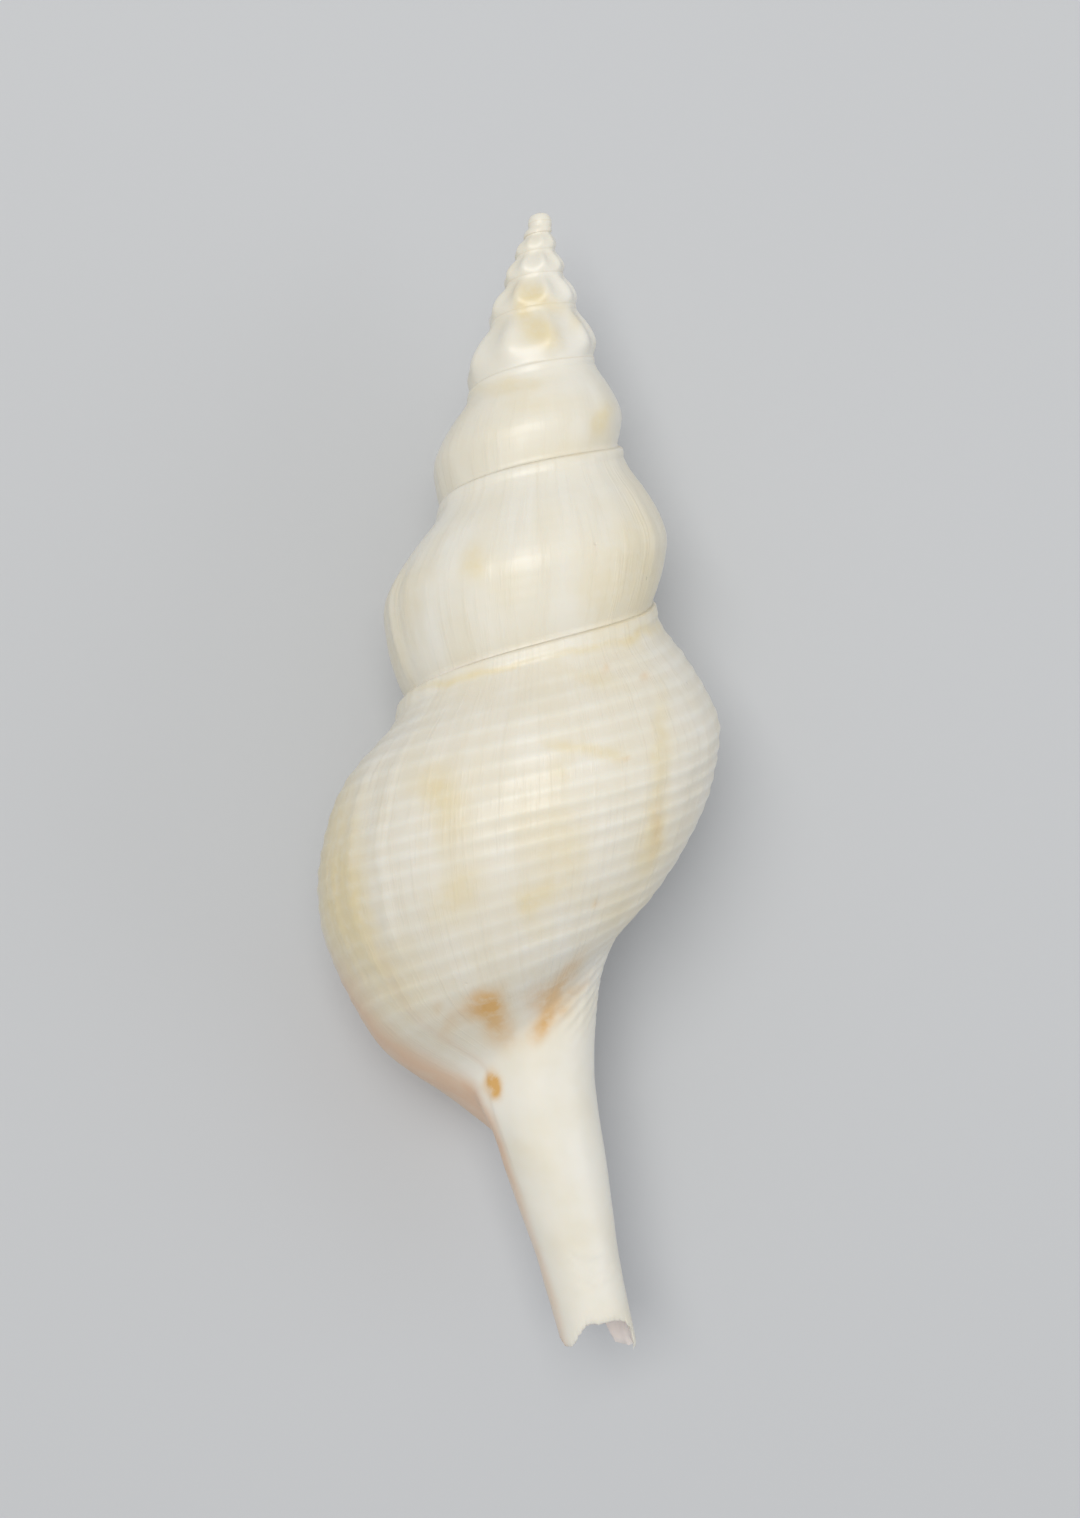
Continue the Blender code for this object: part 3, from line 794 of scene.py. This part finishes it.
view = {
    # the picture's frame, and where the shell's axis and tip stand in it, in pixels
    "width": 1080,
    "height": 1518,
    "axisColumn": 537,
    "tipRow": 212,
    "pixel": 0.053,              # millimetres in one pixel, at the height of the coiling axis
    "distance": 1900,            # camera above the axis, in pixels
    "sensor": 36.0,
}


def seenFromAbove(side, depth, height):
    # where the camera sees a point, as sideways and down from the tip at the height of the axis
    away = view["distance"] * view["pixel"]
    middleSide = (view["width"] / 2 - view["axisColumn"]) * view["pixel"]
    middleDepth = (view["height"] / 2 - view["tipRow"]) * view["pixel"]
    nearer = away / (away - height)
    return middleSide + (side - middleSide) * nearer, middleDepth + (depth - middleDepth) * nearer


newGrowth = {
    "start": 149,                # turn angle where the pinker growth by the lip begins
    "canalLead": 16,             # it begins this much sooner on the canal
    "span": 24.0,
    "firstDepth": 37.5,
    "depthSpan": 5.5,
    "stopShare": 0.20,           # how much of its colour the old growth stop beside it has
}


def markGrowth(mesh):
    # writes on each vertex where it grew, what stands out there, how it is stained, and where shade is
    # painted between the cords and along the suture
    places = np.empty(len(mesh.vertices) * 3)
    mesh.vertices.foreach_get("co", places)
    places = places.reshape(-1, 3) / unit
    origin = fromAxis(0.0, 0.0, 0.0)
    depth = origin[1] - places[:, 1]
    side = places[:, 0] - origin[0]
    height = places[:, 2] - origin[2]
    fromCanal = side - bend(depth)
    radius = np.hypot(fromCanal, height)
    bare = np.degrees(np.arctan2(height, fromCanal))
    angle = bare + 360.0 * math.floor(shell["firstAngle"] / 360.0)
    for turn in range(math.floor(shell["firstAngle"] / 360.0), 2):
        at = bare + 360.0 * turn
        covers = (at <= shell["lipAngle"] + lipShift(depth)) & (sutureDepth(at) <= depth + 0.01)
        angle = np.where(covers, at, angle)
    rim = rimRadius(angle)
    fall = depth - sutureDepth(angle)
    off = np.abs(outerRadius(depth, angle) - radius)
    inside = ease((off - 0.08) / 0.12)
    x, y = seenFromAbove(side, depth, height)
    x, y = (
        x + 0.16 * stainNoise(x / 0.8, y / 0.8, 1.0) + 0.03 * stainNoise(x / 0.3, y / 0.3, 5.0),
        y + 0.16 * stainNoise(x / 0.8, y / 0.8, 9.0) + 0.03 * stainNoise(x / 0.3, y / 0.3, 13.0),
    )
    marks = []
    for spots in (stains["ochre"], stains["straw"]):
        mark = np.zeros(len(x))
        for spotSide, spotDepth, wide, tall, tilt, strength in spots:
            t = math.radians(tilt)
            a = ((x - spotSide) * math.cos(t) - (y - spotDepth) * math.sin(t)) / wide
            b = ((x - spotSide) * math.sin(t) + (y - spotDepth) * math.cos(t)) / tall
            mark = mark + strength * np.exp(-0.5 * (a * a + b * b) ** 1.2)
        marks.append(np.clip(mark, 0, 1.2) * ease(height / 1.5) * (1 - inside))
    # the newest growth by the lip is pinker low on the base, and stays so along the canal's left edge
    begins = newGrowth["start"] - newGrowth["canalLead"] * ease((depth - 45) / 3.0)
    begins = begins + 4 * foldNoise(depth / 2.0, 3.0)
    below = depth - newGrowth["firstDepth"]
    pink = ease((angle - begins) / newGrowth["span"]) * ease(below / newGrowth["depthSpan"])
    fade = 0.5 + 0.5 * ease((54 - depth) / 5.0)
    stop = np.exp(-(((angle - sculpture["stopAngle"] - 1.2 * foldNoise(depth / 1.6, 9.5)) / 2.8) ** 2))
    stop = stop * ease(below / 2.0) * ease((49 - depth) / 3.0)
    marks.append(np.clip(pink * fade + newGrowth["stopShare"] * stop, 0, 1))
    # how far this is from the canal, where shade is painted low between the cords and along the suture, and
    # whether it is inside
    onWhorl = ease((radius - 2.9) / 2.6)
    raised = cordRelief(depth, angle) / sculpture["cordHeight"]
    low = ease((0.45 - raised) / 0.45) * ease((fall / rim - 0.07) / 0.05)
    low = low * onWhorl * ease((angle + 170) / 150.0)
    # the suture line: partly its own tan tint, partly painted shade in its groove
    seam = np.exp(-((fall / rim / 0.011) ** 2)) * (0.8 + 0.4 * stainNoise(angle / 9.0, 2.5))
    low = np.maximum(0.5 * low, seam)
    addAttribute(mesh, "growthPlace", np.stack([rim / growthRate, fall, 0 * fall], axis=-1))
    addAttribute(mesh, "marks", np.stack(marks, axis=-1))
    addAttribute(mesh, "zones", np.stack([onWhorl, low, inside], axis=-1))


def addAttribute(mesh, name, values):
    # three numbers for each vertex, for the material to read
    made = mesh.attributes.new(name, "FLOAT_VECTOR", "POINT")
    made.data.foreach_set("vector", np.ascontiguousarray(values, np.float32).ravel())


def colour(code):
    # an sRGB hex value as linear red, green, blue and alpha
    parts = [int(code[i : i + 2], 16) / 255 for i in (1, 3, 5)]
    return tuple(p / 12.92 if p <= 0.04045 else ((p + 0.055) / 1.055) ** 2.4 for p in parts) + (1.0,)


def addNode(tree, kind, settings=None, links=None):
    # a node with its settings and input values, and links from other nodes' outputs
    node = tree.nodes.new(kind)
    for name, value in (settings or {}).items():
        if isinstance(name, str) and hasattr(node, name):
            setattr(node, name, value)
        else:
            node.inputs[name].default_value = value
    for name, output in (links or {}).items():
        tree.links.new(output, node.inputs[name])
    return node


finish = {
    # colours as the eye meets them in white light
    "white": "#EBE8DD",
    "cream": "#E4DDC8",
    "shadeAndLineTone": "#D8CCB4",         # painted shade between the cords; along the suture partly its tan line and partly painted shade; also the tone of the growth lines
    "straw": "#E2D2A4",
    "ochre": "#D9AC68",
    "pink": "#E2BF9E",
    "inside": "#EDE3DD",
    "ior": 1.53,
    "glow": 0.15,                # share of the light that goes in, and how far in millimetres
    "glowDepth": 0.8,
    "roughness": 0.40,
    "insideRoughness": 0.24,
    # Noise patterns: name, place they follow, size across and down in millimetres, detail, and the
    # noise values where they start and end, and the least share. Growth lines are drawn about twice as
    # coarse as they are.
    "patterns": [
        ("blotches", "object", (3.6, 3.6, 3.6), 3.0, 0.28, 0.95, 0.0),
        ("grain", "object", (0.6, 0.6, 0.6), 3.0, 0.25, 0.60, 0.65),
        ("softGrain", "object", (1.6, 1.6, 1.6), 2.0, 0.30, 0.62, 0.80),
        ("streaks", "growth", (3.4, 16.0, 1.0), 3.0, 0.40, 0.64, 0.0),
        ("fineStreaks", "growth", (0.9, 9.0, 1.0), 3.0, 0.45, 0.70, 0.0),
        ("growthLines", "growth", (0.30, 4.0, 1.0), 4.0, 0.45, 0.75, 0.0),
    ],
    # Colour layers from the lowest up: pattern or mark, what it is limited to, strength and colour.
    "layers": [
        ("streaks", "whorl", 0.55, "cream"),
        ("fineStreaks", "whorl", 0.28, "cream"),
        ("growthLines", "whorl", 0.14, "shadeAndLineTone"),
        # painted shade in the hollows between the cords and along the suture, broken up by the grain
        ("low", "grain", 0.50, "shadeAndLineTone"),
        ("pink", "softGrain", 0.95, "pink"),
        ("straw", "grain", 0.72, "straw"),
        ("ochre", "grain", 0.95, "ochre"),
    ],
    "lineDepth": 0.014,
    "pit": 2.3,                  # spacing of the tiny pits
    "pitSize": 0.05,             # as a share of their spacing
    "pitDepth": 0.03,
}


def grownShell():
    # Aragonite laid down in layers by the animal, then worn: satin like unglazed porcelain, with faint
    # growth lines, milky white streaks in cream, and light that goes a short way in.
    made = bpy.data.materials.new("grownAragoniteShell")
    made.use_nodes = True
    tree = made.node_tree
    surface = tree.nodes["Principled BSDF"]
    surface.inputs["Metallic"].default_value = 0.0
    surface.inputs["IOR"].default_value = finish["ior"]
    surface.inputs["Subsurface Weight"].default_value = finish["glow"]
    surface.inputs["Subsurface Radius"].default_value = (1.0, 0.8, 0.6)
    surface.inputs["Subsurface Scale"].default_value = finish["glowDepth"] * unit
    growth = addNode(tree, "ShaderNodeAttribute", {"attribute_name": "growthPlace"})
    marks = addNode(tree, "ShaderNodeAttribute", {"attribute_name": "marks"})
    zones = addNode(tree, "ShaderNodeAttribute", {"attribute_name": "zones"})
    marks = addNode(tree, "ShaderNodeSeparateXYZ", links={0: marks.outputs["Vector"]})
    zones = addNode(tree, "ShaderNodeSeparateXYZ", links={0: zones.outputs["Vector"]})
    spot = addNode(tree, "ShaderNodeTexCoord")
    shares = {
        "ochre": marks.outputs[0],
        "straw": marks.outputs[1],
        "pink": marks.outputs[2],
        "whorl": zones.outputs[0],
        # painted shade between the cords and along the suture
        "low": zones.outputs[1],
        "inside": zones.outputs[2],
    }
    for seed, (name, follows, size, detail, low, high, least) in enumerate(finish["patterns"]):
        # the growth place is in millimetres, the object's in metres
        scale = 1.0 if follows == "growth" else 1 / unit
        place = growth.outputs["Vector"] if follows == "growth" else spot.outputs["Object"]
        mapping = {"Scale": [scale / s for s in size], "Location": (7.3 * seed, 3.1 * seed, 5.7 * seed)}
        at = addNode(tree, "ShaderNodeMapping", mapping, {"Vector": place})
        noise = {"Scale": 1.0, "Detail": detail, "Roughness": 0.55}
        value = addNode(tree, "ShaderNodeTexNoise", noise, {"Vector": at.outputs[0]})
        span = {"interpolation_type": "SMOOTHSTEP", "From Min": low, "From Max": high, "To Min": least}
        shares[name] = addNode(tree, "ShaderNodeMapRange", span, {"Value": value.outputs["Fac"]}).outputs[0]
    shade = addNode(
        tree, "ShaderNodeMix",
        {"data_type": "RGBA", 6: colour(finish["white"]), 7: colour(finish["cream"])},
        {0: shares["blotches"]},
    )
    for name, limit, strength, code in finish["layers"]:
        share = addNode(
            tree, "ShaderNodeMath", {"operation": "MULTIPLY"}, {0: shares[name], 1: shares[limit]},
        )
        share = addNode(
            tree, "ShaderNodeMath", {"operation": "MULTIPLY", "use_clamp": True, 1: strength},
            {0: share.outputs[0]},
        )
        shade = addNode(
            tree, "ShaderNodeMix", {"data_type": "RGBA", 7: colour(finish[code])},
            {0: share.outputs[0], 6: shade.outputs[2]},
        )
    shade = addNode(
        tree, "ShaderNodeMix", {"data_type": "RGBA", 7: colour(finish["inside"])},
        {0: shares["inside"], 6: shade.outputs[2]},
    )
    tree.links.new(shade.outputs[2], surface.inputs["Base Color"])
    # worn satin outside, glazed inside
    worn = addNode(
        tree, "ShaderNodeMapRange",
        {"To Min": finish["roughness"] - 0.05, "To Max": finish["roughness"] + 0.07},
        {"Value": shares["blotches"]},
    )
    rough = addNode(
        tree, "ShaderNodeMix", {3: finish["insideRoughness"]}, {0: shares["inside"], 2: worn.outputs[0]},
    )
    tree.links.new(rough.outputs[0], surface.inputs["Roughness"])
    # growth lines and pits stand in the surface itself, on the whorls only
    lines = addNode(
        tree, "ShaderNodeMath", {"operation": "MULTIPLY"}, {0: shares["growthLines"], 1: shares["whorl"]},
    )
    bump = addNode(
        tree, "ShaderNodeBump", {"Strength": 1.0, "Distance": finish["lineDepth"] * unit},
        {"Height": lines.outputs[0]},
    )
    at = addNode(
        tree, "ShaderNodeMapping", {"Scale": [1 / (finish["pit"] * unit)] * 3},
        {"Vector": spot.outputs["Object"]},
    )
    holes = addNode(tree, "ShaderNodeTexVoronoi", {"Scale": 1.0}, {"Vector": at.outputs[0]})
    holes = addNode(
        tree, "ShaderNodeMapRange",
        {"From Min": finish["pitSize"], "From Max": 0.4 * finish["pitSize"]},
        {"Value": holes.outputs["Distance"]},
    )
    holes = addNode(
        tree, "ShaderNodeMath", {"operation": "MULTIPLY"}, {0: holes.outputs[0], 1: shares["whorl"]},
    )
    bump = addNode(
        tree, "ShaderNodeBump", {"Strength": 1.0, "Distance": finish["pitDepth"] * unit, "invert": True},
        {"Height": holes.outputs[0], "Normal": bump.outputs[0]},
    )
    tree.links.new(bump.outputs[0], surface.inputs["Normal"])
    return made


shellVisual = carveShell()
softenBreaks(shellVisual)
markGrowth(shellVisual.data)
shellVisual.data.materials.clear()
shellVisual.data.materials.append(grownShell())
shellVisual.data.shade_smooth()
shellVisual.data.set_sharp_from_angle(angle=math.radians(50))
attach(shellVisual, "root")
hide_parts("shell")
print("shell:", sum(len(p.vertices) - 2 for p in shellVisual.data.polygons), "triangles")

studio = {
    "floor": "#C4C6C8",
    "floorSize": 3.0,            # metres
    "floorRoughness": 0.75,
    "coatScale": 900.0,          # bumps of the painted coat in a metre, and their depth in metres
    "coatDepth": 0.00005,
    "world": "#F4F6FA",
    "worldStrength": 0.50,
    # name, place in metres from the shell's middle, size in metres, watts, colour
    "lights": [
        ("keySoftbox", (-0.05, 0.10, 0.42), 0.26, 1.12, "#FFFCF7"),
        ("sideSoftbox", (0.42, -0.05, 0.22), 0.30, 0.35, "#F3F6FF"),
    ],
}


def paleFloor():
    # Matt painted board: even, with the faintest unevenness of a rolled coat.
    made = bpy.data.materials.new("mattPaintedBoard")
    made.use_nodes = True
    tree = made.node_tree
    surface = tree.nodes["Principled BSDF"]
    surface.inputs["Base Color"].default_value = colour(studio["floor"])
    surface.inputs["Roughness"].default_value = studio["floorRoughness"]
    spot = addNode(tree, "ShaderNodeTexCoord")
    coat = addNode(
        tree, "ShaderNodeTexNoise", {"Scale": studio["coatScale"], "Detail": 2.0},
        {"Vector": spot.outputs["Object"]},
    )
    bump = addNode(
        tree, "ShaderNodeBump", {"Strength": 0.1, "Distance": studio["coatDepth"]},
        {"Height": coat.outputs["Fac"]},
    )
    tree.links.new(bump.outputs[0], surface.inputs["Normal"])
    return made


def buildStudio():
    half = studio["floorSize"] / 2
    mesh = bpy.data.meshes.new("floor")
    corners = [(-half, -half, 0), (half, -half, 0), (half, half, 0), (-half, half, 0)]
    mesh.from_pydata(corners, [], [(0, 1, 2, 3)])
    floor = bpy.data.objects.new("floor", mesh)
    floor.location.z = cadLow.z
    mesh.materials.append(paleFloor())
    bpy.context.scene.collection.objects.link(floor)
    world = bpy.data.worlds.new("studioWorld")
    world.use_nodes = True
    sky = world.node_tree.nodes["Background"]
    sky.inputs["Color"].default_value = colour(studio["world"])
    sky.inputs["Strength"].default_value = studio["worldStrength"]
    bpy.context.scene.world = world
    middle = (cadLow + cadHigh) / 2
    for name, offset, size, watts, tint in studio["lights"]:
        light = bpy.data.lights.new(name, "AREA")
        light.shape = "SQUARE"
        light.size = size
        light.energy = watts
        light.color = colour(tint)[:3]
        lamp = bpy.data.objects.new(name, light)
        lamp.location = middle.copy()
        for axis in range(3):
            lamp.location[axis] += offset[axis]
        lamp.rotation_euler = (lamp.location - middle).to_track_quat("Z", "Y").to_euler()
        bpy.context.scene.collection.objects.link(lamp)
    bpy.context.scene.view_settings.view_transform = "Standard"


def buildCamera():
    # straight down, with the frame's middle over the point that the picture's middle shows
    lens = bpy.data.cameras.new("camera")
    lens.sensor_width = view["sensor"]
    lens.lens = view["sensor"] * view["distance"] / view["height"]
    lens.clip_start = 0.01
    lens.clip_end = 10
    camera = bpy.data.objects.new("camera", lens)
    side = (view["width"] / 2 - view["axisColumn"]) * view["pixel"]
    depth = (view["height"] / 2 - view["tipRow"]) * view["pixel"]
    camera.location = fromAxis(side, depth, view["distance"] * view["pixel"]) * unit
    bpy.context.scene.collection.objects.link(camera)
    bpy.context.scene.camera = camera


buildStudio()
buildCamera()
print("studio and camera ready")
